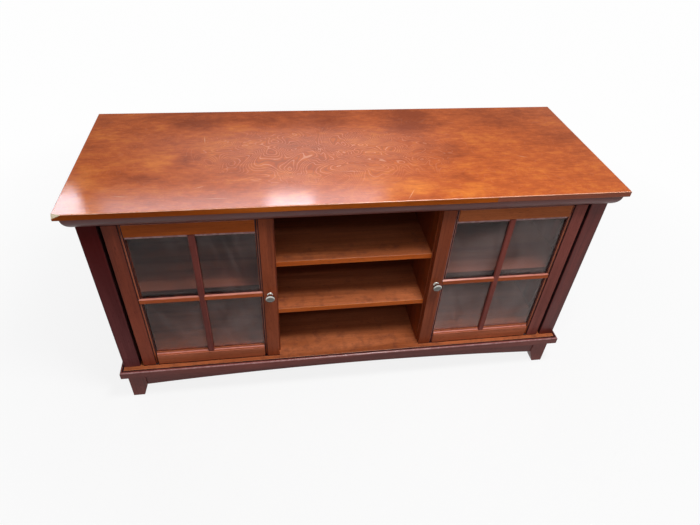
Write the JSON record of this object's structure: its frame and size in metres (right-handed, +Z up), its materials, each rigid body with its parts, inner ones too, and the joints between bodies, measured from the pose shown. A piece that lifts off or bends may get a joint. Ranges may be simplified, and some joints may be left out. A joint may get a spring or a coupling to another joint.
{
  "type": "media console",
  "caption": "Low wooden media console with an open shelved bay between swinging glazed doors, a moulded cornice, an arched apron and tapered feet.",
  "frame": {"origin": "on the floor under the middle of the top board", "axes": "+X to the right seen from the front, the front faces -Y, +Z up"},
  "size_m": [1.524, 0.559, 0.762],
  "materials": {
    "top_veneer": "cherry-stained veneer under satin lacquer",
    "case_wood": "dark cherry stain under satin lacquer",
    "door_wood": "cherry stain under satin lacquer",
    "inner_wood": "cherry-stained veneer under satin lacquer",
    "back_board": "printed hardboard",
    "raw_wood": "bare pine",
    "glass": "clear float glass",
    "nickel": "satin nickel plate",
    "steel": "zinc-plated steel",
    "nylon": "moulded nylon",
    "brown_plastic": "moulded brown plastic"
  },
  "bodies": {
    "cabinet": {"top_panel": "top_veneer", "cornice_front": "case_wood", "cornice_left": "case_wood", "cornice_right": "case_wood", "base_mould_front": "case_wood", "base_mould_left": "case_wood", "base_mould_right": "case_wood", "apron_front": "case_wood", "apron_rear": "case_wood", "side_aprons": "case_wood", "foot_front_left": "case_wood", "foot_front_right": "case_wood", "foot_rear_left": "case_wood", "foot_rear_right": "case_wood", "post_front_left": "case_wood", "post_front_right": "case_wood", "post_rear_left": "case_wood", "post_rear_right": "case_wood", "side_panel_left": "case_wood", "side_panel_right": "case_wood", "side_rails_left": "case_wood", "side_rails_right": "case_wood", "top_rail_front": "case_wood", "top_rail_rear": "case_wood", "bottom_panel": "inner_wood", "divider_left": "inner_wood", "divider_right": "inner_wood", "shelf_upper": "inner_wood", "shelf_lower": "inner_wood", "shelf_left": "inner_wood", "shelf_right": "inner_wood", "back_panel_left": "back_board", "back_panel_centre": "back_board", "back_panel_right": "back_board", "corner_blocks": "raw_wood", "shelf_pins": "steel", "pivot_plates": "steel", "magnetic_catches": "brown_plastic"},
    "door_left": {"hinge_stile_left": "door_wood", "knob_stile_left": "door_wood", "door_top_rail_left": "door_wood", "door_bottom_rail_left": "door_wood", "glazing_bar_upright_left": "door_wood", "glazing_crossbars_left": "door_wood", "glazing_beads_left": "door_wood", "glass_left": "glass", "pivot_bushes_left": "nylon", "knob_left": "nickel", "door_hardware_left": "steel"},
    "door_right": {"hinge_stile_right": "door_wood", "knob_stile_right": "door_wood", "door_top_rail_right": "door_wood", "door_bottom_rail_right": "door_wood", "glazing_bar_upright_right": "door_wood", "glazing_crossbars_right": "door_wood", "glazing_beads_right": "door_wood", "glass_right": "glass", "pivot_bushes_right": "nylon", "knob_right": "nickel", "door_hardware_right": "steel"}
  },
  "joints": [
    {"name": "door_left_swing", "type": "hinge", "parent": "cabinet", "child": "door_left", "pos_m": [-0.6565, -0.239, 0.4265], "axis": [0, 0, -1], "range_deg": [0, 110]},
    {"name": "door_right_swing", "type": "hinge", "parent": "cabinet", "child": "door_right", "pos_m": [0.6565, -0.239, 0.4265], "axis": [0, 0, 1], "range_deg": [0, 110]}
  ]
}
